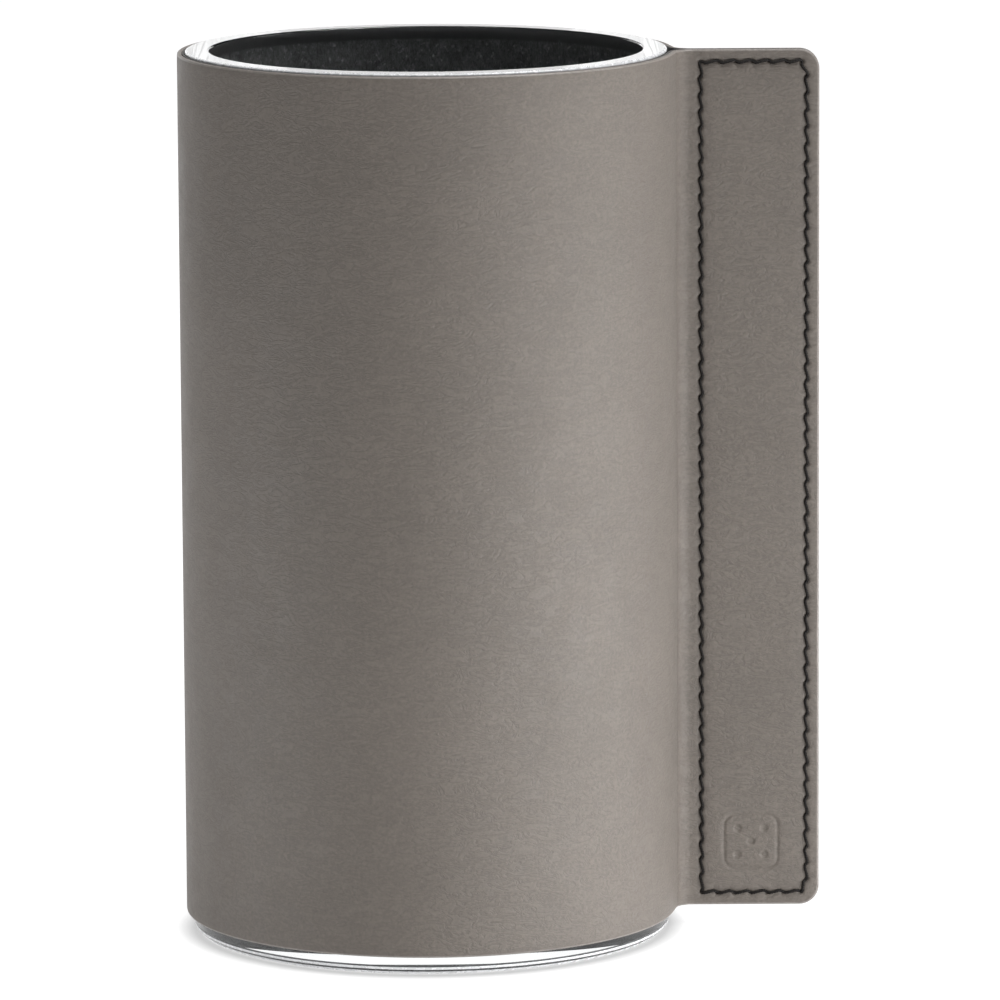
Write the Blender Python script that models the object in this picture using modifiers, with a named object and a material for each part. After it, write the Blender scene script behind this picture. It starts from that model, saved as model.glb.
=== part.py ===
"""Clear glass cylinder in a stitched leather jacket.

The glass stands on the origin with its axis along +Z. The jacket is one sheet of leather bonded to a
black felt backing. It is wrapped round the glass, and its two ends lie back to back as a flat tab that
points along +X, sewn through in one long rectangle. The jacket slides off the glass upwards.
Lengths are in metres and angles in radians.
"""

import math

import bmesh
import bpy

# Driving dimensions of the glass
GLASS_HEIGHT = 0.2244
GLASS_RADIUS = 0.0605
GLASS_WALL = 0.0061
GLASS_FLOOR = 0.0088
GLASS_RIM_ROUND = 0.0005
GLASS_FOOT_BEVEL = 0.0016
GLASS_INNER_ROUND = 0.005

# Driving dimensions of the jacket
JACKET_FOOT_GAP = 0.0047
JACKET_RIM_GAP = 0.0005
LEATHER_THICKNESS = 0.0012
LINING_THICKNESS = 0.0004
TAB_REACH = 0.03625
TAB_CORNER_ROUND = 0.005
TAB_ROOT_ANGLE = math.radians(10)
TAB_ROOT_ROUND = 0.004

# Driving dimensions of the sewing
THREAD_RADIUS = 0.00035
STITCH_PITCH = 0.00425
SEAM_ROOT_INSET = 0.00245
SEAM_EDGE_INSET = 0.0032
SEAM_TOP_INSET = 0.0031
SEAM_BOTTOM_INSET = 0.0033

# Clearances
SLIDE_CLEARANCE = 0.0003
BOND_GAP = 0.0001
LEAF_GAP = 0.0002
THREAD_CLEARANCE = 0.0003

# Fineness of the round shapes
GLASS_STEPS = 72
WRAP_STEPS = 34
ARC_STEPS = 6
RIM_STEPS = 3
STITCH_LIFT = 0.0001
STITCH_DIP = 0.00015
MERGE_DISTANCE = 0.00001

# Sizes that follow from those above
LINING_DEPTH = LEATHER_THICKNESS + BOND_GAP
JACKET_THICKNESS = LINING_DEPTH + LINING_THICKNESS
JACKET_RADIUS = GLASS_RADIUS + SLIDE_CLEARANCE + JACKET_THICKNESS
JACKET_BOTTOM = JACKET_FOOT_GAP
JACKET_TOP = GLASS_HEIGHT - JACKET_RIM_GAP
JACKET_HEIGHT = JACKET_TOP - JACKET_BOTTOM
TAB_HALF_THICKNESS = JACKET_THICKNESS + LEAF_GAP / 2
TAB_END = JACKET_RADIUS + TAB_REACH
GROOVE_RADIUS = THREAD_RADIUS + THREAD_CLEARANCE

COLLECTION_NAME = "leather_jacket_glass"
CUTTER_COLLECTION_NAME = "cutters"


def clear_scene():
    """Removes every object of the scene."""
    for obj in list(bpy.data.objects):
        bpy.data.objects.remove(obj, do_unlink=True)


def new_collection(name, hidden=False):
    """A collection linked to the scene."""
    collection = bpy.data.collections.new(name)
    collection.hide_render = hidden
    bpy.context.scene.collection.children.link(collection)
    return collection


def new_material(name, color, roughness, transmission=0.0):
    """A Principled material."""
    material = bpy.data.materials.new(name)
    material.use_nodes = True
    material.diffuse_color = (*color, 1.0)
    shader = material.node_tree.nodes["Principled BSDF"]
    shader.inputs["Base Color"].default_value = (*color, 1.0)
    shader.inputs["Roughness"].default_value = roughness
    shader.inputs["Metallic"].default_value = 0.0
    shader.inputs["Transmission Weight"].default_value = transmission
    return material


def new_object(name, data, collection, parent=None, material=None):
    """An object in the collection, under the parent, with the material."""
    obj = bpy.data.objects.new(name, data)
    collection.objects.link(obj)
    obj.parent = parent
    if material:
        data.materials.append(material)
    return obj


def new_empty(name, collection, location):
    """An empty on a joint's axis."""
    empty = bpy.data.objects.new(name, None)
    empty.location = location
    empty.empty_display_size = GLASS_RADIUS
    collection.objects.link(empty)
    return empty


def arc(center, radius, start, end, steps=ARC_STEPS):
    """Points of an arc in a plane, ends included."""
    angles = [start + (end - start) * i / steps for i in range(steps + 1)]
    return [(center[0] + radius * math.cos(a), center[1] + radius * math.sin(a)) for a in angles]


def shade_round(mesh, sharp_angle=math.radians(35)):
    """Smooth shading, with the corners kept sharp."""
    mesh.shade_smooth()
    mesh.set_sharp_from_angle(angle=sharp_angle)


def glass_profile():
    """Half section of the glass as (radius, height), from the inner floor over the rim to the underside."""
    bore = GLASS_RADIUS - GLASS_WALL
    inner_round = min(GLASS_INNER_ROUND, bore / 2)
    rim_round = min(GLASS_RIM_ROUND, GLASS_WALL / 3)
    points = [(0.0, GLASS_FLOOR)]
    points += arc((bore - inner_round, GLASS_FLOOR + inner_round), inner_round, -math.pi / 2, 0.0)
    points += arc((bore + rim_round, GLASS_HEIGHT - rim_round), rim_round, math.pi, math.pi / 2, RIM_STEPS)
    points += arc((GLASS_RADIUS - rim_round, GLASS_HEIGHT - rim_round), rim_round, math.pi / 2, 0.0, RIM_STEPS)
    points += [(GLASS_RADIUS, GLASS_FOOT_BEVEL), (GLASS_RADIUS - GLASS_FOOT_BEVEL, 0.0), (0.0, 0.0)]
    return points


def make_glass_cup(collection, material):
    """The glass, turned about +Z."""
    profile = glass_profile()
    mesh = bpy.data.meshes.new("glass_cup")
    edges = [(i, i + 1) for i in range(len(profile) - 1)]
    mesh.from_pydata([(radius, 0.0, height) for radius, height in profile], edges, [])
    cup = new_object("glass_cup", mesh, collection, material=material)
    screw = cup.modifiers.new("turn", "SCREW")
    screw.axis = "Z"
    screw.angle = 2 * math.pi
    screw.steps = GLASS_STEPS
    screw.render_steps = GLASS_STEPS
    screw.use_merge_vertices = True
    screw.merge_threshold = MERGE_DISTANCE
    screw.use_smooth_shade = True
    return cup


def root_round_center():
    """Centre, in plan, of the hollow round where the front leaf leaves the wrap for the tab."""
    y = -(TAB_HALF_THICKNESS + TAB_ROOT_ROUND)
    x = (JACKET_RADIUS + TAB_ROOT_ROUND + y * math.sin(TAB_ROOT_ANGLE)) / math.cos(TAB_ROOT_ANGLE)
    return x, y


def front_half_plan(depth):
    """Plan of the front half of the wrap, this deep under its outer face.

    It runs along the tab from its free end, round the hollow root, and back round the glass to the
    point of the wrap that is farthest from the tab.
    """
    center = root_round_center()
    points = [(TAB_END, -(TAB_HALF_THICKNESS - depth))]
    points += arc(center, TAB_ROOT_ROUND + depth, math.pi / 2, math.pi - TAB_ROOT_ANGLE)
    points += arc((0.0, 0.0), JACKET_RADIUS - depth, -TAB_ROOT_ANGLE, -math.pi, WRAP_STEPS)
    points[-1] = (points[-1][0], 0.0)
    return points


def make_wrap(name, depth, thickness, collection, parent, material):
    """One layer of the jacket: half of its outer face, mirrored and given its thickness inwards."""
    plan = front_half_plan(depth)
    build = bmesh.new()
    lower = [build.verts.new((x, y, JACKET_BOTTOM)) for x, y in plan]
    edges = [build.edges.new(pair) for pair in zip(lower, lower[1:])]
    raised = bmesh.ops.extrude_edge_only(build, edges=edges)["geom"]
    upper = [item for item in raised if isinstance(item, bmesh.types.BMVert)]
    bmesh.ops.translate(build, verts=upper, vec=(0.0, 0.0, JACKET_HEIGHT))
    tab_corners = [vert for vert in build.verts if abs(vert.co.x - TAB_END) < MERGE_DISTANCE]
    bmesh.ops.bevel(
        build,
        geom=tab_corners,
        affect="VERTICES",
        offset=TAB_CORNER_ROUND,
        offset_type="OFFSET",
        segments=ARC_STEPS,
        profile=0.5,
    )
    mesh = bpy.data.meshes.new(name)
    build.to_mesh(mesh)
    build.free()
    layer = new_object(name, mesh, collection, parent, material)
    mirror = layer.modifiers.new("back_half", "MIRROR")
    mirror.use_axis = (False, True, False)
    mirror.merge_threshold = MERGE_DISTANCE
    solidify = layer.modifiers.new("thickness", "SOLIDIFY")
    solidify.thickness = thickness
    solidify.offset = -1.0
    solidify.use_even_offset = True
    shade_round(mesh)
    return layer


def seam_corners():
    """The seam's rectangle on the tab as its low and high (x, z)."""
    root_x = root_round_center()[0]
    low = (root_x + SEAM_ROOT_INSET, JACKET_BOTTOM + SEAM_BOTTOM_INSET)
    high = (TAB_END - SEAM_EDGE_INSET, JACKET_TOP - SEAM_TOP_INSET)
    return low, high


def seam_sides():
    """The four sides of the seam, each as its start and end (x, z), one after the other."""
    (low_x, low_z), (high_x, high_z) = seam_corners()
    corners = [(low_x, low_z), (high_x, low_z), (high_x, high_z), (low_x, high_z)]
    return list(zip(corners, corners[1:] + corners[:1]))


def stitch_points():
    """Path of the thread as (x, z, lift) with three points to a stitch: a dip into the leather, and a
    raised run between two dips.
    """
    points = []
    for start, end in seam_sides():
        length = math.dist(start, end)
        count = max(1, round(length / STITCH_PITCH))
        for i in range(count):
            for share, lift in ((0.0, -STITCH_DIP), (0.22, STITCH_LIFT), (0.78, STITCH_LIFT)):
                t = (i + share) / count
                x = start[0] + (end[0] - start[0]) * t
                z = start[1] + (end[1] - start[1]) * t
                points.append((x, z, lift))
    return points


def new_ring(name, points, radius, bevel_resolution):
    """A closed poly curve with a round section."""
    curve = bpy.data.curves.new(name, "CURVE")
    curve.dimensions = "3D"
    curve.bevel_depth = radius
    curve.bevel_resolution = bevel_resolution
    spline = curve.splines.new("POLY")
    spline.points.add(len(points) - 1)
    for point, place in zip(spline.points, points):
        point.co = (*place, 1.0)
    spline.use_cyclic_u = True
    return curve


def make_thread(name, side, collection, parent, material):
    """The thread on one face of the tab: side is -1 for the front and 1 for the back."""
    face = side * TAB_HALF_THICKNESS
    points = [(x, face + side * lift, z) for x, z, lift in stitch_points()]
    curve = new_ring(name, points, THREAD_RADIUS, 0)
    return new_object(name, curve, collection, parent, material)


def make_groove_cutter(name, side, collection, parent):
    """The tube that presses the thread's channel into one face of the tab."""
    corners = [start for start, _ in seam_sides()]
    points = [(x, side * TAB_HALF_THICKNESS, z) for x, z in corners]
    guide = new_object(name + "_guide", new_ring(name, points, GROOVE_RADIUS, 2), collection)
    graph = bpy.context.evaluated_depsgraph_get()
    mesh = bpy.data.meshes.new_from_object(guide.evaluated_get(graph))
    bpy.data.objects.remove(guide, do_unlink=True)
    cutter = new_object(name, mesh, collection, parent)
    cutter.hide_render = True
    cutter.display_type = "WIRE"
    return cutter


def cut_grooves(leather, cutters):
    """The channels that the two threads lie in."""
    for cutter in cutters:
        cut = leather.modifiers.new(cutter.name, "BOOLEAN")
        cut.operation = "DIFFERENCE"
        cut.solver = "EXACT"
        cut.object = cutter


def build():
    clear_scene()
    parts = new_collection(COLLECTION_NAME)
    cutters = new_collection(CUTTER_COLLECTION_NAME, hidden=True)

    glass = new_material("clear_glass", (0.93, 0.95, 0.95), 0.02, transmission=1.0)
    leather = new_material("taupe_leather", (0.23, 0.2, 0.175), 0.6)
    felt = new_material("black_felt", (0.02, 0.02, 0.021), 0.95)
    thread = new_material("dark_thread", (0.022, 0.018, 0.015), 0.7)

    make_glass_cup(parts, glass)

    jacket = new_empty("sleeve_slide_axis", parts, (0.0, 0.0, 0.0))
    sleeve = make_wrap("leather_sleeve", 0.0, LEATHER_THICKNESS, parts, jacket, leather)
    make_wrap("sleeve_lining", LINING_DEPTH, LINING_THICKNESS, parts, jacket, felt)
    make_thread("needle_thread", -1, parts, jacket, thread)
    make_thread("bobbin_thread", 1, parts, jacket, thread)
    grooves = [
        make_groove_cutter("front_groove", -1, cutters, jacket),
        make_groove_cutter("back_groove", 1, cutters, jacket),
    ]
    cut_grooves(sleeve, grooves)


build()
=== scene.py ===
"""Looks of the leather-jacketed glass cup: clear glass, grained leather with its seam, felt and thread."""
import math

import bmesh
import bpy
import numpy as np
from mathutils import Matrix, Vector
from mathutils.geometry import delaunay_2d_cdt


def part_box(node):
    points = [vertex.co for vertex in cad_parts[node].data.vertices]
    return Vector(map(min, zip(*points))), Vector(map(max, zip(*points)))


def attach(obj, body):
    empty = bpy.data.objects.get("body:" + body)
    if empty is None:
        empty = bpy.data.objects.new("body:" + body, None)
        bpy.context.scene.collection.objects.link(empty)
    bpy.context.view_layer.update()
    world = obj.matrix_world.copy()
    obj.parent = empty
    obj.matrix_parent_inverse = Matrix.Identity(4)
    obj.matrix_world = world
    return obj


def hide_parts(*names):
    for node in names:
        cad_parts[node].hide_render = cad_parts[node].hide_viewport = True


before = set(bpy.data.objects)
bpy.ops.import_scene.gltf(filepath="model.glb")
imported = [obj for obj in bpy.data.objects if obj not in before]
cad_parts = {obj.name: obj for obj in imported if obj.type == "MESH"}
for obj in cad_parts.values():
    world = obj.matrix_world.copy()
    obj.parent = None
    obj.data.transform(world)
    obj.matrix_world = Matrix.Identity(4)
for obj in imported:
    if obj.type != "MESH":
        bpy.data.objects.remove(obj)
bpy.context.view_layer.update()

# ---------------------------------------------------------------- sizes, from the frame
_, glass_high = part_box("glass_cup")
leather_low, leather_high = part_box("leather_sleeve")
thread_low, thread_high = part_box("needle_thread")

GLASS_RADIUS = glass_high.x
GLASS_TOP = glass_high.z
JACKET_RADIUS = -leather_low.x
JACKET_BOTTOM = leather_low.z
JACKET_HEIGHT = leather_high.z - leather_low.z
TAB_END = leather_high.x

# ---------------------------------------------------------------- sizes the frame's boxes don't give
GLASS_WALL = 0.0061
GLASS_FLOOR = 0.0088
GLASS_RIM_ROUND = 0.0005
GLASS_FOOT_BEVEL = 0.0016
BEVEL_CORNER_ROUND = 0.0003
GLASS_INNER_ROUND = 0.005
GROUND_BAND = 0.0006
# Heights at which the foot's faces change, in turn from ground glass to arris tinted dark as painted shade,
# and back.
FOOT_BANDS = (0.00065, 0.00125, 0.0019, 0.00235)
# How far from a rounded edge an extra ring of points keeps the shading of the flat beside it flat.
FLAT_SUPPORT = 0.0002

LEATHER_THICKNESS = 0.0012
LEATHER_EDGE_ROUND = 0.0005
LINING_DEPTH = 0.0013
LINING_THICKNESS = 0.0004
LINING_EDGE_ROUND = LINING_THICKNESS * 0.4
TAB_HALF_THICKNESS = 0.0018
TAB_CORNER_ROUND = 0.005
TAB_ROOT_ANGLE = math.radians(10)
TAB_ROOT_ROUND = 0.004

THREAD_RADIUS = 0.00035
STITCH_PITCH = 0.00425
STITCH_SWING = 0.00042
STITCH_JITTER = 0.00003
STITCH_SEED = 7
PLIES = 3
PLY_SIDES = 6
PLY_RADIUS = 0.00021
PLY_OFFSET = 0.00017
PLY_TWIST = 0.0019

# ---------------------------------------------------------------- fineness of the meshes
GLASS_STEPS = 256
INNER_ROUND_STEPS = 16
RIM_ROUND_STEPS = 8
BEVEL_ROUND_STEPS = 5
TAB_CORNER_STEPS = 10
EDGE_RINGS = 4
OUTLINE_SPACING = 0.002
SAME_POINT = 1e-6
TRIANGLE_TOLERANCE = 1e-7
FAR_AWAY = 1.0

# ---------------------------------------------------------------- small helpers


def link(obj):
    """Puts an object in the scene."""
    bpy.context.scene.collection.objects.link(obj)
    return obj


def mesh_object(name, points, faces):
    """A smooth-shaded object from points in metres and faces as index lists."""
    mesh = bpy.data.meshes.new(name)
    mesh.from_pydata([tuple(p) for p in points], [], [tuple(int(i) for i in f) for f in faces])
    mesh.update()
    mesh.shade_smooth()
    return link(bpy.data.objects.new(name, mesh))


def arc(center, radius, start, end, steps):
    """Points of an arc in a plane, ends included."""
    angles = np.linspace(start, end, steps + 1)
    return [(center[0] + radius * math.cos(a), center[1] + radius * math.sin(a)) for a in angles]


def smooth_step(x):
    """0 below 0, 1 above 1, and an even rise between."""
    x = np.clip(x, 0.0, 1.0)
    return x * x * (3 - 2 * x)


def dent(distance, depth, width):
    """Depth of a soft dent at a distance from its middle."""
    return depth * np.exp(-((distance / width) ** 2))


# ---------------------------------------------------------------- plan of the jacket

ROOT_Y = -(TAB_HALF_THICKNESS + TAB_ROOT_ROUND)
ROOT_X = (JACKET_RADIUS + TAB_ROOT_ROUND + ROOT_Y * math.sin(TAB_ROOT_ANGLE)) / math.cos(TAB_ROOT_ANGLE)
FLAT_LENGTH = TAB_END - ROOT_X
ROUND_LENGTH = TAB_ROOT_ROUND * (math.pi / 2 - TAB_ROOT_ANGLE)
LEAD_LENGTH = ROOT_X * math.sin(TAB_ROOT_ANGLE) + ROOT_Y * math.cos(TAB_ROOT_ANGLE)
HALF_WRAP_LENGTH = JACKET_RADIUS * (math.pi - TAB_ROOT_ANGLE)
HALF_SHEET = FLAT_LENGTH + ROUND_LENGTH + LEAD_LENGTH + HALF_WRAP_LENGTH
SHEET_LENGTH = 2 * HALF_SHEET


def place(along, height, depth):
    """Where points of the jacket's sheet lie once it is wrapped.

    along runs over the outer face from the front leaf's free end round to the back leaf's, height runs up
    from the lower edge, and depth goes inwards from the outer face. All three are arrays.
    """
    back = along > HALF_SHEET
    s = np.where(back, SHEET_LENGTH - along, along)
    x = TAB_END - s
    y = -(TAB_HALF_THICKNESS - depth)

    in_round = s > FLAT_LENGTH
    turn = math.pi / 2 + np.clip(s - FLAT_LENGTH, 0, ROUND_LENGTH) / TAB_ROOT_ROUND
    x = np.where(in_round, ROOT_X + (TAB_ROOT_ROUND + depth) * np.cos(turn), x)
    y = np.where(in_round, ROOT_Y + (TAB_ROOT_ROUND + depth) * np.sin(turn), y)

    past_round = s - FLAT_LENGTH - ROUND_LENGTH
    lead = np.clip(past_round, 0, LEAD_LENGTH)
    x = np.where(past_round > 0, x - lead * math.sin(TAB_ROOT_ANGLE), x)
    y = np.where(past_round > 0, y - lead * math.cos(TAB_ROOT_ANGLE), y)

    past_lead = past_round - LEAD_LENGTH
    around = -TAB_ROOT_ANGLE - past_lead / JACKET_RADIUS
    x = np.where(past_lead > 0, (JACKET_RADIUS - depth) * np.cos(around), x)
    y = np.where(past_lead > 0, (JACKET_RADIUS - depth) * np.sin(around), y)
    return np.column_stack([x, np.where(back, -y, y), JACKET_BOTTOM + height])


# ---------------------------------------------------------------- the seam on the sheet

SEAM_LOW = (thread_low.x + THREAD_RADIUS, thread_low.z + THREAD_RADIUS)
SEAM_HIGH = (thread_high.x - THREAD_RADIUS, thread_high.z - THREAD_RADIUS)
SEAM_CORNER_CUT = 0.0013
SEAM_CORNER_RISE = 0.0034


def seam_holes():
    """The seam's holes as (x, z), counter-clockwise from the lower corner at the tab's root."""
    (x0, z0), (x1, z1) = SEAM_LOW, SEAM_HIGH
    turns = [
        (x0, z0),
        (x1 - SEAM_CORNER_CUT, z0),
        (x1, z0 + SEAM_CORNER_RISE),
        (x1, z1 - SEAM_CORNER_RISE),
        (x1 - SEAM_CORNER_CUT, z1),
        (x0, z1),
    ]
    holes = []
    for start, end in zip(turns, turns[1:] + turns[:1]):
        count = max(1, round(math.dist(start, end) / STITCH_PITCH))
        for i in range(count):
            x = start[0] + (end[0] - start[0]) * i / count
            z = start[1] + (end[1] - start[1]) * i / count
            holes.append((x, z))
    return np.array(holes)


HOLES = seam_holes()

# One stitch from hole to hole: share of the way, sideways swing as a share of STITCH_SWING, and height
# over the face.
STITCH_SHAPE = (
    (0.00, 1.0, -0.00035),
    (0.14, 0.65, 0.00008),
    (0.35, 0.1, 0.00016),
    (0.60, -0.6, 0.00014),
    (0.76, -1.0, 0.00002),
    (0.90, 0.0, -0.00038),
    (1.00, 1.0, -0.00035),
)
PATH_STEPS = 16
PATH_SMOOTHINGS = 2


def seam_path():
    """The thread's closed centre line as arrays (x, z, height over the tab's face)."""
    rng = np.random.default_rng(STITCH_SEED)
    shares, swings, heights = [np.array(column) for column in zip(*STITCH_SHAPE)]
    t = np.arange(PATH_STEPS) / PATH_STEPS
    swing = np.interp(t, shares, swings) * STITCH_SWING
    height = np.interp(t, shares, heights)
    flat, up = [], []
    for start, end in zip(HOLES, np.roll(HOLES, -1, axis=0)):
        ahead = (end - start) / np.linalg.norm(end - start)
        right = np.array([ahead[1], -ahead[0]])
        jitter = rng.normal(0, STITCH_JITTER, 2)
        flat.append(start + np.outer(t, end - start) + np.outer(swing, right) + jitter)
        up.append(height)
    path = np.column_stack([np.vstack(flat), np.concatenate(up)])
    for _ in range(PATH_SMOOTHINGS):
        path = (np.roll(path, 1, axis=0) + 2 * path + np.roll(path, -1, axis=0)) / 4
    return path


SEAM_PATH = seam_path()
FURROW_STRIDE = 4
FURROW = SEAM_PATH[::FURROW_STRIDE, :2]
PITS = SEAM_PATH[PATH_STEPS - 1::PATH_STEPS, :2]
FURROW_DEPTH = 0.0002
FURROW_WIDTH = 0.0006
PULL_DEPTH = 0.00015
PULL_WIDTH = 0.0016
PIT_DEPTH = 0.00055
PIT_WIDTH = 0.0005
MARGIN_FALL = 0.0002
RELIEF_OVERLAP = 0.002


def distance_to_ring(px, pz, ring):
    """Distance from each point to the nearest side of a closed ring of (x, z) points."""
    best = np.full(px.shape, FAR_AWAY)
    for (ax, az), (bx, bz) in zip(ring, np.roll(ring, -1, axis=0)):
        dx, dz = bx - ax, bz - az
        t = np.clip(((px - ax) * dx + (pz - az) * dz) / (dx * dx + dz * dz), 0, 1)
        best = np.minimum(best, np.hypot(px - ax - t * dx, pz - az - t * dz))
    return best


def seam_relief(x, z):
    """Depth of the dents that the thread pulls into the leather, and how its free margins fall away."""
    line = distance_to_ring(x, z, FURROW)
    pit = np.full(x.shape, FAR_AWAY)
    for px, pz in PITS:
        pit = np.minimum(pit, np.hypot(x - px, z - pz))
    depth = dent(line, FURROW_DEPTH, FURROW_WIDTH) + dent(line, PULL_DEPTH, PULL_WIDTH)
    depth += dent(pit, PIT_DEPTH, PIT_WIDTH)
    beyond = (
        (x - SEAM_HIGH[0]) / (TAB_END - SEAM_HIGH[0]),
        (z - SEAM_HIGH[1]) / (leather_high.z - SEAM_HIGH[1]),
        (SEAM_LOW[1] - z) / (SEAM_LOW[1] - JACKET_BOTTOM),
    )
    return depth + MARGIN_FALL * np.clip(np.maximum.reduce(beyond), 0, 1)


# ---------------------------------------------------------------- the pressed mark: a plain die face

MARK_CENTER = (0.0814, 0.0212)
MARK_HALF = 0.0068
MARK_CORNER = 0.0026
MARK_LINE = 0.00045
MARK_DEPTH = 0.00024
PIP_PLACES = ((0, 0), (1, 1), (1, -1), (-1, 1), (-1, -1))
PIP_RADIUS = 0.0011
PIP_SPREAD = 0.0034
PIP_DEPTH = 0.00025
PIP_FLAT_SHARE = 0.55
PIP_WALL_SHARE = 0.6


def mark_relief(x, z):
    """Depth of a rounded square line with five pips in it."""
    qx = np.abs(x - MARK_CENTER[0]) - (MARK_HALF - MARK_CORNER)
    qz = np.abs(z - MARK_CENTER[1]) - (MARK_HALF - MARK_CORNER)
    outside = np.hypot(np.maximum(qx, 0), np.maximum(qz, 0))
    inside = np.minimum(np.maximum(qx, qz), 0)
    depth = dent(outside + inside - MARK_CORNER, MARK_DEPTH, MARK_LINE)
    for px, pz in PIP_PLACES:
        pip = np.hypot(x - MARK_CENTER[0] - px * PIP_SPREAD, z - MARK_CENTER[1] - pz * PIP_SPREAD)
        wall = (pip - PIP_RADIUS * PIP_FLAT_SHARE) / (PIP_RADIUS * PIP_WALL_SHARE)
        depth += PIP_DEPTH * (1 - smooth_step(wall))
    return depth


def leather_relief(along, height):
    """How far the outer face is pressed in from its plain shape, over the whole sheet."""
    back = along > HALF_SHEET
    s = np.where(back, SHEET_LENGTH - along, along)
    x = TAB_END - s
    z = JACKET_BOTTOM + height
    depth = np.zeros_like(s)
    tab = s < FLAT_LENGTH + RELIEF_OVERLAP
    depth[tab] = seam_relief(x[tab], z[tab])
    front = tab & ~back & (np.abs(z - MARK_CENTER[1]) < 2 * MARK_HALF)
    depth[front] += mark_relief(x[front], z[front])
    return depth


# ---------------------------------------------------------------- the sheet's mesh


def outline_of(inset):
    """The sheet's rounded outline, this far in from its cut edge, as (along, height), counter-clockwise.

    Every inset gives the same number of points.
    """
    r = TAB_CORNER_ROUND
    across = max(2, round((SHEET_LENGTH - 2 * r) / OUTLINE_SPACING))
    up = max(2, round((JACKET_HEIGHT - 2 * r) / OUTLINE_SPACING))
    steps = TAB_CORNER_STEPS
    low, high = r, JACKET_HEIGHT - r
    left, right = r, SHEET_LENGTH - r
    points = [(left + (right - left) * i / across, inset) for i in range(across)]
    points += arc((right, low), r - inset, -math.pi / 2, 0, steps)[:-1]
    points += [(SHEET_LENGTH - inset, low + (high - low) * i / up) for i in range(up)]
    points += arc((right, high), r - inset, 0, math.pi / 2, steps)[:-1]
    points += [(right - (right - left) * i / across, JACKET_HEIGHT - inset) for i in range(across)]
    points += arc((left, high), r - inset, math.pi / 2, math.pi, steps)[:-1]
    points += [(inset, high - (high - low) * i / up) for i in range(up)]
    points += arc((left, low), r - inset, math.pi, 1.5 * math.pi, steps)[:-1]
    return np.array(points)


def grid(first, second):
    """Every pair of the two lists' values, as two arrays."""
    return [values.ravel() for values in np.meshgrid(first, second)]


FINE = 0.00025
FINE_MARGIN = 0.0011
# Up to each of these distances from a dent the points stand so many times FINE apart, and beyond the last
# they stand WIDE_LEVEL times FINE apart.
FINE_ZONES = ((0.0012, 1), (0.002, 2), (0.004, 4), (0.008, 8))
WIDE_LEVEL = 16
MARK_LEAD = 0.0005


def fine_points():
    """Points over both leaves of the tab, close together where the leather is dented and wide elsewhere."""
    first_x, last_x = (ROOT_X + FINE) / FINE, (TAB_END - FINE_MARGIN) / FINE
    first_z, last_z = (JACKET_BOTTOM + FINE_MARGIN) / FINE, (leather_high.z - FINE_MARGIN) / FINE
    gx, gz = grid(
        np.arange(math.ceil(first_x), math.floor(last_x)),
        np.arange(math.ceil(first_z), math.floor(last_z)),
    )
    x, z = gx * FINE, gz * FINE
    (x0, z0), (x1, z1) = SEAM_LOW, SEAM_HIGH
    seam = distance_to_ring(x, z, [(x0, z0), (x1, z0), (x1, z1), (x0, z1)])
    mark = np.maximum(np.abs(x - MARK_CENTER[0]), np.abs(z - MARK_CENTER[1])) - MARK_HALF
    front_away = np.minimum(seam, np.maximum(mark, 0) + MARK_LEAD)
    both = []
    for back, away in ((False, front_away), (True, seam)):
        near = [away < reach for reach, _ in FINE_ZONES]
        level = np.select(near, [step for _, step in FINE_ZONES], WIDE_LEVEL)
        keep = (gx % level == 0) & (gz % level == 0)
        s = TAB_END - x[keep]
        if back:
            s = SHEET_LENGTH - s
        both.append(np.column_stack([s, z[keep] - JACKET_BOTTOM]))
    return np.vstack(both)


ROOT_COLUMNS = 13
WRAP_COLUMN = 0.0026
GRID_MARGIN = 0.002


def wide_points(row_spacing, root_rows):
    """Points over the wrapped part of the sheet: narrow columns where it turns sharply, wide ones
    elsewhere. The two spacings are those of its rows on the wrap and on the root's round.
    """
    bend = FLAT_LENGTH + np.linspace(0, ROUND_LENGTH, ROOT_COLUMNS + 1)
    start = FLAT_LENGTH + ROUND_LENGTH
    count = round((HALF_SHEET - start) / WRAP_COLUMN)
    wrap = np.linspace(start, HALF_SHEET, count + 1)[1:]
    points = []
    for columns, spacing in ((bend, root_rows), (wrap, row_spacing)):
        rows = round((JACKET_HEIGHT - 2 * GRID_MARGIN) / spacing)
        ga, gu = grid(columns, np.linspace(GRID_MARGIN, JACKET_HEIGHT - GRID_MARGIN, rows + 1))
        points.append(np.column_stack([ga, gu]))
        mirrored = ga < HALF_SHEET - SAME_POINT
        points.append(np.column_stack([SHEET_LENGTH - ga[mirrored], gu[mirrored]]))
    return np.vstack(points)


def leaf_points(spacing):
    """A wide grid over the two flat leaves, for a face that is hidden."""
    ga, gu = grid(
        np.linspace(GRID_MARGIN, FLAT_LENGTH - GRID_MARGIN, round(FLAT_LENGTH / spacing)),
        np.linspace(GRID_MARGIN, JACKET_HEIGHT - GRID_MARGIN, round(JACKET_HEIGHT / spacing)),
    )
    return np.vstack([np.column_stack([ga, gu]), np.column_stack([SHEET_LENGTH - ga, gu])])


def filled(ring, inner):
    """The ring's points followed by the inner ones, and triangles over the ring's inside through them."""
    points = np.vstack([ring, inner])
    n = len(ring)
    edges = [(i, (i + 1) % n) for i in range(n)]
    made = delaunay_2d_cdt([Vector(p) for p in points], edges, [], 1, TRIANGLE_TOLERANCE)
    made_points, _, made_faces, sources = made[:4]
    assert len(made_points) == len(points), "two points of the sheet lie on each other"
    source = np.array([first for first, *_ in sources])
    return points, source[np.array([tuple(f) for f in made_faces])]


# Spacings of the points on a sheet's inner face: over the two leaves, and of the rows on the wrap and on the
# root's round.
HIDDEN_LEAF = 0.008
HIDDEN_ROWS = (0.012, 0.006)


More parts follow.
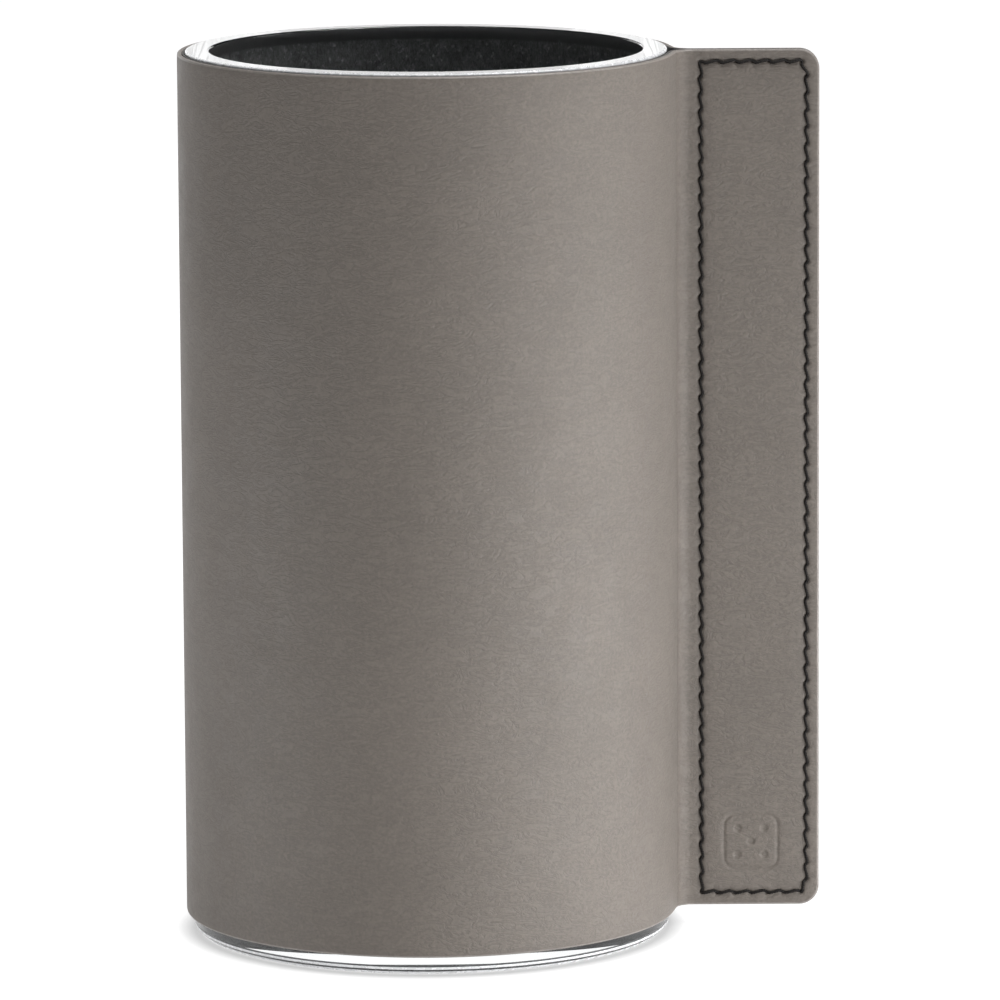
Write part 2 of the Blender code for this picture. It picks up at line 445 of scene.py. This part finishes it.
def edge_profile(thickness, edge_round):
    """The cut edge's section as (inset, depth), from the outer face round to the inner one."""
    turns = np.linspace(0, math.pi / 2, EDGE_RINGS + 1)
    half = [(edge_round * (1 - math.sin(a)), edge_round * (1 - math.cos(a))) for a in turns]
    return half + [(inset, thickness - down) for inset, down in reversed(half)]


def sheet_mesh(name, depth, thickness, edge_round, inner, relief):
    """A closed sheet: its outer face through the inner points, a rounded cut edge in the second material
    slot, and its plain inner face. relief, if any, gives how deep the outer face is pressed in.
    """
    profile = edge_profile(thickness, edge_round)
    rings = [outline_of(inset) for inset, _ in profile]
    n = len(rings[0])
    outer, outer_triangles = filled(rings[0], inner)
    down = relief(outer[:, 0], outer[:, 1]) if relief else np.zeros(len(outer))
    points = [place(outer[:, 0], outer[:, 1], depth + down)]
    for ring, (_, deep) in zip(rings[1:-1], profile[1:-1]):
        points.append(place(ring[:, 0], ring[:, 1], depth + deep + down[:n] * (1 - deep / thickness)))
    hidden_inner = np.vstack([leaf_points(HIDDEN_LEAF), wide_points(*HIDDEN_ROWS)])
    hidden, hidden_triangles = filled(rings[-1], hidden_inner)
    points.append(place(hidden[:, 0], hidden[:, 1], np.full(len(hidden), depth + thickness)))

    starts = [0] + [len(outer) + n * i for i in range(len(rings) - 1)]
    faces = outer_triangles.tolist()
    faces += [(a, c, b) for a, b, c in (hidden_triangles + starts[-1]).tolist()]
    edge_faces = []
    for first, second in zip(starts, starts[1:]):
        for i in range(n):
            j = (i + 1) % n
            edge_faces.append((first + j, first + i, second + i, second + j))
    obj = mesh_object(name, np.vstack(points), faces + edge_faces)
    slots = np.zeros(len(obj.data.polygons), np.int32)
    slots[len(faces):] = 1
    obj.data.polygons.foreach_set("material_index", slots)
    return obj


def outward(obj):
    """Turns every face to point out of its closed body."""
    build = bmesh.new()
    build.from_mesh(obj.data)
    bmesh.ops.recalc_face_normals(build, faces=build.faces)
    build.to_mesh(obj.data)
    build.free()
    return obj


# ---------------------------------------------------------------- glass

CLEAR_SLOT, GROUND_SLOT, PAINTED_SHADE_ARRIS_SLOT = 0, 1, 2


def glass_profile():
    """Half section from the inner floor over the rim to the underside as (radius, height)."""
    bore = GLASS_RADIUS - GLASS_WALL
    rim = GLASS_RIM_ROUND
    foot = GLASS_FOOT_BEVEL
    soft = BEVEL_CORNER_ROUND
    inner = GLASS_INNER_ROUND
    near = FLAT_SUPPORT
    quarter = math.pi / 2
    points = [(0.0, GLASS_FLOOR), (bore * 0.5, GLASS_FLOOR), (bore - inner - near, GLASS_FLOOR)]
    points += arc((bore - inner, GLASS_FLOOR + inner), inner, -quarter, 0, INNER_ROUND_STEPS)
    points += [(bore, GLASS_FLOOR + inner + near), (bore, GLASS_TOP * 0.5), (bore, GLASS_TOP - rim - near)]
    points += arc((bore + rim, GLASS_TOP - rim), rim, math.pi, quarter, RIM_ROUND_STEPS)
    points += [(bore + rim + near, GLASS_TOP), (GLASS_RADIUS - rim - near, GLASS_TOP)]
    points += arc((GLASS_RADIUS - rim, GLASS_TOP - rim), rim, quarter, 0, RIM_ROUND_STEPS)
    points += [(GLASS_RADIUS, GLASS_TOP - GROUND_BAND), (GLASS_RADIUS, GLASS_TOP - GROUND_BAND - near)]
    points += [(GLASS_RADIUS, GLASS_TOP * 0.5)]
    points += [(GLASS_RADIUS, z) for z in reversed(FOOT_BANDS) if z > foot]
    points += arc((GLASS_RADIUS - soft, foot), soft, 0, -quarter / 2, BEVEL_ROUND_STEPS)
    slope = points[-1][0] - points[-1][1]
    points += [(slope + z, z) for z in reversed(FOOT_BANDS) if z < points[-1][1]]
    points += arc((GLASS_RADIUS - foot, soft), soft, -quarter / 2, -quarter, BEVEL_ROUND_STEPS)
    points += [(GLASS_RADIUS - foot - near, 0.0), (GLASS_RADIUS * 0.5, 0.0), (0.0, 0.0)]
    return points


def glass_slot(radius, height):
    """Slot of a face of the glass: ground at the rim's outer edge, ground and arris with painted shade in
    turn up the foot.
    """
    if radius > GLASS_RADIUS - GLASS_FOOT_BEVEL and 0 < height < FOOT_BANDS[-1]:
        band = sum(height > top for top in FOOT_BANDS)
        return PAINTED_SHADE_ARRIS_SLOT if band % 2 else GROUND_SLOT
    if radius > GLASS_RADIUS - GLASS_RIM_ROUND and height > GLASS_TOP - GROUND_BAND:
        return GROUND_SLOT
    return CLEAR_SLOT


def make_glass():
    """The glass, turned about +Z."""
    build = bmesh.new()
    verts = [build.verts.new((r, 0, z)) for r, z in glass_profile()]
    edges = [build.edges.new(pair) for pair in zip(verts, verts[1:])]
    bmesh.ops.spin(
        build,
        geom=verts + edges,
        cent=(0, 0, 0),
        axis=(0, 0, 1),
        angle=2 * math.pi,
        steps=GLASS_STEPS,
        use_merge=True,
    )
    bmesh.ops.remove_doubles(build, verts=build.verts, dist=SAME_POINT)
    bmesh.ops.recalc_face_normals(build, faces=build.faces)
    for face in build.faces:
        middle = face.calc_center_median()
        face.material_index = glass_slot(math.hypot(middle.x, middle.y), middle.z)
    mesh = bpy.data.meshes.new("clear_glass_cup")
    build.to_mesh(mesh)
    build.free()
    mesh.shade_smooth()
    return link(bpy.data.objects.new("clear_glass_cup", mesh))


# ---------------------------------------------------------------- thread


def unit(vectors):
    """The vectors at length 1."""
    return vectors / np.linalg.norm(vectors, axis=1)[:, None]


def make_stitches(name, side):
    """The thread on one face of the tab: a closed cord of plies twisted together."""
    x, z, lift = SEAM_PATH.T
    line = np.column_stack([x, side * (TAB_HALF_THICKNESS + lift), z])
    count = len(line)
    tangent = unit(np.roll(line, -1, axis=0) - np.roll(line, 1, axis=0))
    aside = unit(np.cross(tangent, [0.0, side, 0.0]))
    up = np.cross(aside, tangent)
    steps = np.linalg.norm(np.roll(line, -1, axis=0) - line, axis=1)
    turns = round(steps.sum() / PLY_TWIST)
    twist = 2 * math.pi * turns * np.concatenate([[0.0], np.cumsum(steps)[:-1]]) / steps.sum()
    points, faces = [], []
    for ply in range(PLIES):
        turn = (twist + 2 * math.pi * ply / PLIES)[:, None]
        center = line + PLY_OFFSET * (np.cos(turn) * aside + np.sin(turn) * up)
        around = [
            center + PLY_RADIUS * (math.cos(w) * aside + math.sin(w) * up)
            for w in np.linspace(0, 2 * math.pi, PLY_SIDES, endpoint=False)
        ]
        points.append(np.stack(around, axis=1).reshape(-1, 3))
        base = ply * count * PLY_SIDES
        for i in range(count):
            here = base + i * PLY_SIDES
            there = base + (i + 1) % count * PLY_SIDES
            for k in range(PLY_SIDES):
                m = (k + 1) % PLY_SIDES
                faces.append((here + k, here + m, there + m, there + k))
    return outward(mesh_object(name, np.vstack(points), faces))


# ---------------------------------------------------------------- materials

GLASS_TINT = (0.95, 0.965, 0.965)
GROUND_TINT = (0.9, 0.91, 0.93)
# Painted shade: the foot's arrises are tinted near-black to draw their dark lines.
ARRIS_PAINTED_SHADE_TINT = (0.07, 0.072, 0.075)
GLASS_IOR = 1.5
TAUPE = (0.1235, 0.1065, 0.092)
# Painted light: the cut edge is coloured lighter than the leather for the light that its rounded top
# catches.
CUT_EDGE_PAINTED_LIGHT = (0.2, 0.18, 0.165)
LEATHER_CLOUD = 0.06
LEATHER_PATCH = 0.035
# Painted shade: the next two darken the leather along its creases and in the fine grain's hollows, where the
# bump sinks; the fine grain's tone is partly its own.
LEATHER_CREASE_SHADE = 0.1
LEATHER_FINE_TONE_AND_SHADE = 0.12
LEATHER_GLOSS_CHANGE = 0.06
LEATHER_BUMP = 0.24
CREASE_WIDTH = 0.09
SMOOTH_SIDE = 0.35
SMOOTH_SIDE_X = -0.045
GRAINED_SIDE_X = 0.005
# Partly painted light: the felt is black, and its face is given a dark grey, lighter than its edge, for the
# glass reflections seen over it.
FELT = (0.17, 0.17, 0.172)
FELT_EDGE = (0.09, 0.085, 0.08)
FELT_BAND = 0.0033
FELT_BAND_BLUR = 0.0003
FELT_BAND_TONE = 0.5
FELT_BUMP = 0.6
THREAD_BROWN = (0.006, 0.0045, 0.004)
BUMP_DISTANCE = 0.0004
# A noise texture's values mostly lie between these two.
NOISE_LOW = 0.3
NOISE_HIGH = 0.7


def new_material(name):
    """A material, its nodes and links, and its Principled shader."""
    material = bpy.data.materials.new(name)
    material.use_nodes = True
    tree = material.node_tree
    return material, tree.nodes, tree.links, tree.nodes["Principled BSDF"]


def object_place(nodes, links, stretch=(1, 1, 1)):
    """The piece's own coordinates, stretched: a number under 1 draws the pattern out along that axis."""
    where = nodes.new("ShaderNodeTexCoord").outputs["Object"]
    mapping = nodes.new("ShaderNodeMapping")
    mapping.inputs["Scale"].default_value = stretch
    links.new(where, mapping.inputs["Vector"])
    return mapping.outputs["Vector"]


def noise_node(nodes, links, source, scale, detail, roughness=0.55, distortion=0.0):
    """A noise texture's value at the source's places."""
    made = nodes.new("ShaderNodeTexNoise")
    made.inputs["Scale"].default_value = scale
    made.inputs["Detail"].default_value = detail
    made.inputs["Roughness"].default_value = roughness
    made.inputs["Distortion"].default_value = distortion
    links.new(source, made.inputs["Vector"])
    return made.outputs["Fac"]


def ramp(nodes, links, source, low, high, low_value, high_value):
    """The source's range from low to high mapped to the two values, and held beyond it."""
    made = nodes.new("ShaderNodeMapRange")
    made.inputs["From Min"].default_value = low
    made.inputs["From Max"].default_value = high
    made.inputs["To Min"].default_value = low_value
    made.inputs["To Max"].default_value = high_value
    links.new(source, made.inputs["Value"])
    return made.outputs["Result"]


def spread(nodes, links, noise, low_value, high_value):
    """A noise stretched to run from one value to the other."""
    return ramp(nodes, links, noise, NOISE_LOW, NOISE_HIGH, low_value, high_value)


def math_node(nodes, links, operation, *values):
    """A math node over sockets and plain numbers."""
    made = nodes.new("ShaderNodeMath")
    made.operation = operation
    for socket, value in zip(made.inputs, values):
        if isinstance(value, (int, float)):
            socket.default_value = value
        else:
            links.new(value, socket)
    return made.outputs["Value"]


def product(nodes, links, *factors):
    """All the factors multiplied."""
    total = factors[0]
    for factor in factors[1:]:
        total = math_node(nodes, links, "MULTIPLY", total, factor)
    return total


def coordinate(nodes, links, source, axis):
    """One axis of a place."""
    axes = nodes.new("ShaderNodeSeparateXYZ")
    links.new(source, axes.inputs["Vector"])
    return axes.outputs[axis]


def set_color(nodes, links, shader, color, factor):
    """The shader's base color is the color times a factor socket."""
    made = nodes.new("ShaderNodeVectorMath")
    made.operation = "SCALE"
    made.inputs[0].default_value = color
    links.new(factor, made.inputs["Scale"])
    links.new(made.outputs["Vector"], shader.inputs["Base Color"])


def add_bump(nodes, links, shader, height, strength):
    """Relief that the light sees, from a height socket."""
    bump = nodes.new("ShaderNodeBump")
    bump.inputs["Strength"].default_value = strength
    bump.inputs["Distance"].default_value = BUMP_DISTANCE
    links.new(height, bump.inputs["Height"])
    links.new(bump.outputs["Normal"], shader.inputs["Normal"])


def glass_material():
    """Clear glass with the faintest tint, a little uneven as pressed glass is."""
    material, nodes, links, shader = new_material("clear_glass")
    drift = noise_node(nodes, links, object_place(nodes, links), scale=30, detail=2)
    set_color(nodes, links, shader, GLASS_TINT, spread(nodes, links, drift, 0.992, 1.0))
    shader.inputs["Roughness"].default_value = 0.0
    shader.inputs["IOR"].default_value = GLASS_IOR
    shader.inputs["Transmission Weight"].default_value = 1.0
    return material


def ground_glass_material():
    """The fine-ground bevels at the rim and foot, which scatter the light that the wall leads to them."""
    material, nodes, links, shader = new_material("ground_glass")
    cloud = noise_node(nodes, links, object_place(nodes, links), scale=500, detail=3)
    set_color(nodes, links, shader, GROUND_TINT, spread(nodes, links, cloud, 0.93, 1.0))
    links.new(spread(nodes, links, cloud, 0.22, 0.32), shader.inputs["Roughness"])
    shader.inputs["IOR"].default_value = GLASS_IOR
    shader.inputs["Transmission Weight"].default_value = 0.25
    return material


def painted_shade_arris_material():
    """The narrow arrises of the foot's bevel, tinted near-black as painted shade, since real arrises look
    dark where they turn the view off the table.
    """
    material, nodes, links, shader = new_material("glass_arris_painted_shade")
    cloud = noise_node(nodes, links, object_place(nodes, links), scale=150, detail=2)
    set_color(nodes, links, shader, ARRIS_PAINTED_SHADE_TINT, spread(nodes, links, cloud, 0.6, 1.4))
    shader.inputs["Roughness"].default_value = 0.12
    shader.inputs["IOR"].default_value = GLASS_IOR
    shader.inputs["Transmission Weight"].default_value = 0.2
    return material


def leather_material(name, color, grain, roughness):
    """Fine-grained calf leather: small creases that run round the jacket, over soft clouds of tone. The
    creases are coloured darker as painted shade, and the fine grain's tone, partly its own, darkens in its
    hollows as painted shade.

    Its grain is deepest on the tab's side and fades to a smoother hide on the other, as leather varies
    over one skin.
    """
    material, nodes, links, shader = new_material(name)
    plain = object_place(nodes, links)
    drawn_out = object_place(nodes, links, (0.4, 0.4, 1))
    cloud = noise_node(nodes, links, plain, scale=26, detail=3, roughness=0.6)
    patch = noise_node(nodes, links, plain, scale=170, detail=4, roughness=0.6)
    fine = noise_node(nodes, links, plain, scale=1300, detail=3, roughness=0.6)
    fold = noise_node(nodes, links, drawn_out, scale=420, detail=3, roughness=0.6, distortion=1.6)
    off_middle = math_node(nodes, links, "ABSOLUTE", math_node(nodes, links, "SUBTRACT", fold, 0.5))
    crease = ramp(nodes, links, off_middle, 0.0, CREASE_WIDTH, 0.0, 1.0)

    # Painted shade in the creases and grain hollows, over the leather's own clouds of tone.
    tone = product(
        nodes,
        links,
        spread(nodes, links, cloud, 1 - LEATHER_CLOUD, 1 + LEATHER_CLOUD),
        spread(nodes, links, patch, 1 - LEATHER_PATCH, 1 + LEATHER_PATCH),
        ramp(nodes, links, crease, 0.0, 1.0, 1 - LEATHER_CREASE_SHADE, 1 + LEATHER_CREASE_SHADE * 0.3),
        spread(nodes, links, fine, 1 - LEATHER_FINE_TONE_AND_SHADE, 1 + LEATHER_FINE_TONE_AND_SHADE),
    )
    set_color(nodes, links, shader, color, tone)

    relief = math_node(nodes, links, "ADD", crease, math_node(nodes, links, "MULTIPLY", fine, 0.5))
    across = coordinate(nodes, links, plain, "X")
    side = ramp(nodes, links, across, SMOOTH_SIDE_X, GRAINED_SIDE_X, SMOOTH_SIDE, 1.0)
    add_bump(nodes, links, shader, product(nodes, links, relief, side), LEATHER_BUMP * grain)

    dull, shiny = roughness + LEATHER_GLOSS_CHANGE, roughness - LEATHER_GLOSS_CHANGE
    links.new(spread(nodes, links, patch, shiny, dull), shader.inputs["Roughness"])
    shader.inputs["Specular IOR Level"].default_value = 0.5
    shader.inputs["Sheen Weight"].default_value = 0.05
    shader.inputs["Sheen Roughness"].default_value = 0.3
    return material


def felt_material(name, color, band):
    """Pressed felt with stray fibres. Its upper band, if any, is darker and of one even tone."""
    material, nodes, links, shader = new_material(name)
    plain = object_place(nodes, links)
    drawn_out = object_place(nodes, links, (1, 1, 0.45))
    fibre = noise_node(nodes, links, drawn_out, scale=1100, detail=5, roughness=0.75, distortion=2.0)
    tuft = noise_node(nodes, links, plain, scale=320, detail=4, roughness=0.65, distortion=0.8)
    speck = noise_node(nodes, links, plain, scale=900, detail=2, roughness=0.5)
    tone = product(
        nodes,
        links,
        ramp(nodes, links, fibre, 0.36, 0.7, 0.45, 1.7),
        ramp(nodes, links, tuft, 0.32, 0.68, 0.65, 1.35),
        ramp(nodes, links, speck, 0.62, 0.72, 1.0, 2.2),
    )
    # The upper band takes one even, darker tone.
    if band:
        height = coordinate(nodes, links, plain, "Z")
        edge = leather_high.z - FELT_BAND
        below_band = ramp(nodes, links, height, edge + FELT_BAND_BLUR, edge - FELT_BAND_BLUR, 0.0, 1.0)
        change = math_node(nodes, links, "SUBTRACT", tone, FELT_BAND_TONE)
        change = math_node(nodes, links, "MULTIPLY", change, below_band)
        tone = math_node(nodes, links, "ADD", change, FELT_BAND_TONE)
    set_color(nodes, links, shader, color, tone)
    add_bump(nodes, links, shader, fibre, FELT_BUMP)
    shader.inputs["Roughness"].default_value = 0.95
    shader.inputs["Sheen Weight"].default_value = 0.15
    shader.inputs["Sheen Roughness"].default_value = 0.5
    return material


def thread_material():
    """Waxed dark brown thread."""
    material, nodes, links, shader = new_material("dark_thread")
    fuzz = noise_node(nodes, links, object_place(nodes, links), scale=3000, detail=3)
    set_color(nodes, links, shader, THREAD_BROWN, spread(nodes, links, fuzz, 0.6, 1.4))
    shader.inputs["Roughness"].default_value = 0.6
    shader.inputs["Specular IOR Level"].default_value = 0.25
    return material


# ---------------------------------------------------------------- stage

CAMERA_AIM = Vector((0.017979, 0.0, 0.109386))
CAMERA_DISTANCE = 2.0
CAMERA_ELEVATION = math.radians(9.291)
CAMERA_ROLL = math.radians(0.315)
CAMERA_LENS = 284.2
CAMERA_SENSOR = 36.0
CAMERA_NEAR = 0.05
CAMERA_FAR = 50

FLOOR_RADIUS = 8.0
FLOOR_DROP = 0.0002
FLOOR_SIDES = 128
FLOOR_GLOW = 0.97
CONTACT_GLOW = 0.55
FAR_GLOW = 1.01
# The floor's glow falls to CONTACT_GLOW between these two distances inside the foot's outline, and is back
# at FLOOR_GLOW this far outside it. It reaches FAR_GLOW at the second far radius.
CONTACT_INSIDE = (0.004, 0.001)
CONTACT_OUTSIDE = 0.0045
FAR_RADII = (0.12, 0.35)

LIT_MIDDLE = Vector((0.0, 0.0, 0.11))
SOFT_BOX_DISTANCE = 1.7
SQUARE_BOX = (0.9, 0.9)
# Soft boxes: azimuth and elevation in degrees, size in metres, and watts. Azimuth 0 is the camera's side and
# 90 the tab's.
SOFT_BOXES = {
    "right_wall": (95, 10, SQUARE_BOX, 5),
    "high_right": (75, 65, SQUARE_BOX, 28),
    "back_left": (-155, 10, SQUARE_BOX, 3),
    "far_wall": (180, 6, (1.2, 0.5), 2.4),
    "overhead": (0, 88, (1.2, 1.2), 12),
}
LOW_STRIP_HEIGHT = 0.01
LOW_STRIP_AIM = (0, 0, 0.03)
LOW_STRIP_SIZE = (0.35, 0.06)
# Low strips: x, y and watts.
LOW_STRIPS = {
    "low_left": (-0.34, -0.12, 0.6),
    "low_front": (0.28, -0.3, 1.4),
    "low_right": (0.42, -0.1, 1.4),
}
WORLD_GLOW = 0.02
CLEAR_BOUNCES = 48
GLOSSY_BOUNCES = 24


def make_camera():
    """A long lens that looks slightly down at the jacket's front."""
    data = bpy.data.cameras.new("camera")
    data.sensor_width = CAMERA_SENSOR
    data.lens = CAMERA_LENS
    data.clip_start = CAMERA_NEAR
    data.clip_end = CAMERA_FAR
    camera = link(bpy.data.objects.new("camera", data))
    away = Vector((0, -math.cos(CAMERA_ELEVATION), math.sin(CAMERA_ELEVATION)))
    stand = Matrix.Translation(CAMERA_AIM + away * CAMERA_DISTANCE)
    look = (-away).to_track_quat("-Z", "Y").to_matrix().to_4x4()
    camera.matrix_world = stand @ look @ Matrix.Rotation(-CAMERA_ROLL, 4, "Z")
    bpy.context.scene.camera = camera


def make_floor():
    """A pale table that glows like a lit white sweep, a little less where the glass's foot shades it."""
    build = bmesh.new()
    bmesh.ops.create_circle(build, cap_ends=True, segments=FLOOR_SIDES, radius=FLOOR_RADIUS)
    mesh = bpy.data.meshes.new("floor")
    build.to_mesh(mesh)
    build.free()
    floor = link(bpy.data.objects.new("floor", mesh))
    floor.location.z = -FLOOR_DROP
    material, nodes, links, shader = new_material("pale_floor")
    length = nodes.new("ShaderNodeVectorMath")
    length.operation = "LENGTH"
    links.new(object_place(nodes, links), length.inputs[0])
    radius = length.outputs["Value"]
    dim_from, dim_to = [GLASS_RADIUS - inside for inside in CONTACT_INSIDE]
    lit_again = GLASS_RADIUS + CONTACT_OUTSIDE
    under = ramp(nodes, links, radius, dim_from, dim_to, FLOOR_GLOW, CONTACT_GLOW)
    beside = ramp(nodes, links, radius, GLASS_RADIUS, lit_again, CONTACT_GLOW, FLOOR_GLOW)
    far = ramp(nodes, links, radius, *FAR_RADII, 0.0, FAR_GLOW)
    near = math_node(nodes, links, "MAXIMUM", under, beside)
    links.new(math_node(nodes, links, "MAXIMUM", near, far), shader.inputs["Emission Strength"])
    shader.inputs["Base Color"].default_value = (0.08, 0.08, 0.08, 1)
    shader.inputs["Roughness"].default_value = 0.9
    shader.inputs["Emission Color"].default_value = (1, 1, 1, 1)
    mesh.materials.append(material)


def make_world():
    """A faint white glow from all round."""
    world = bpy.data.worlds.new("studio")
    world.use_nodes = True
    background = world.node_tree.nodes["Background"]
    background.inputs["Color"].default_value = (1, 1, 1, 1)
    background.inputs["Strength"].default_value = WORLD_GLOW
    bpy.context.scene.world = world


def area_light(name, location, target, size, power):
    """A rectangular lamp that looks at a target and isn't itself in the picture."""
    data = bpy.data.lights.new(name, "AREA")
    data.shape = "RECTANGLE"
    data.size, data.size_y = size
    data.energy = power
    lamp = link(bpy.data.objects.new(name, data))
    lamp.location = location
    lamp.rotation_euler = (Vector(target) - Vector(location)).to_track_quat("-Z", "Y").to_euler()
    lamp.visible_camera = False


def make_lights():
    """Soft boxes round the jacket, and strips near the floor that stand for the white table's own glow."""
    for name, (azimuth, elevation, size, power) in SOFT_BOXES.items():
        turn, rise = math.radians(azimuth), math.radians(elevation)
        level = math.cos(rise)
        away = Vector((math.sin(turn) * level, -math.cos(turn) * level, math.sin(rise)))
        area_light(name, LIT_MIDDLE + away * SOFT_BOX_DISTANCE, LIT_MIDDLE, size, power)
    for name, (x, y, power) in LOW_STRIPS.items():
        area_light(name, (x, y, LOW_STRIP_HEIGHT), LOW_STRIP_AIM, LOW_STRIP_SIZE, power)


def set_light_paths():
    """Plain colours, and enough bounces for light to cross both walls of the glass."""
    scene = bpy.context.scene
    scene.view_settings.view_transform = "Standard"
    scene.cycles.max_bounces = CLEAR_BOUNCES
    scene.cycles.transmission_bounces = CLEAR_BOUNCES
    scene.cycles.glossy_bounces = GLOSSY_BOUNCES


# ---------------------------------------------------------------- pieces


def add_glass():
    """The clear glass cup, which stays where it is."""
    glass = make_glass()
    glass.data.materials.append(glass_material())
    glass.data.materials.append(ground_glass_material())
    # The third slot paints the arrises' dark lines as shade.
    glass.data.materials.append(painted_shade_arris_material())
    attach(glass, "cup")
    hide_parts("glass_cup")


def add_leather():
    """The leather sheet with its cut edge."""
    inner = np.vstack([fine_points(), wide_points(row_spacing=0.006, root_rows=0.0015)])
    leather = outward(
        sheet_mesh("leather_jacket", 0.0, LEATHER_THICKNESS, LEATHER_EDGE_ROUND, inner, leather_relief)
    )
    leather.data.materials.append(leather_material("taupe_leather", TAUPE, grain=1.0, roughness=0.6))
    # The edge's lighter colour is painted light.
    leather.data.materials.append(leather_material("cut_edge_painted_light", CUT_EDGE_PAINTED_LIGHT, grain=0.5, roughness=0.45))
    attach(leather, "sleeve")
    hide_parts("leather_sleeve")


def add_lining():
    """The felt backing, which follows the leather's inner face."""
    inner = np.vstack([leaf_points(spacing=0.006), wide_points(row_spacing=0.006, root_rows=0.003)])
    lining = outward(
        sheet_mesh("felt_backing", LINING_DEPTH, LINING_THICKNESS, LINING_EDGE_ROUND, inner, None)
    )
    lining.data.materials.append(felt_material("black_felt", FELT, band=True))
    lining.data.materials.append(felt_material("felt_edge", FELT_EDGE, band=False))
    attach(lining, "sleeve")
    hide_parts("sleeve_lining")


def add_threads():
    """The stitches on both faces of the tab."""
    thread = thread_material()
    faces = (("front_stitches", "needle_thread", -1), ("back_stitches", "bobbin_thread", 1))
    for name, cad_node, side in faces:
        stitches = make_stitches(name, side)
        stitches.data.materials.append(thread)
        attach(stitches, "sleeve")
        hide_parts(cad_node)


make_camera()
make_floor()
make_world()
make_lights()
set_light_paths()
add_glass()
add_leather()
add_lining()
add_threads()
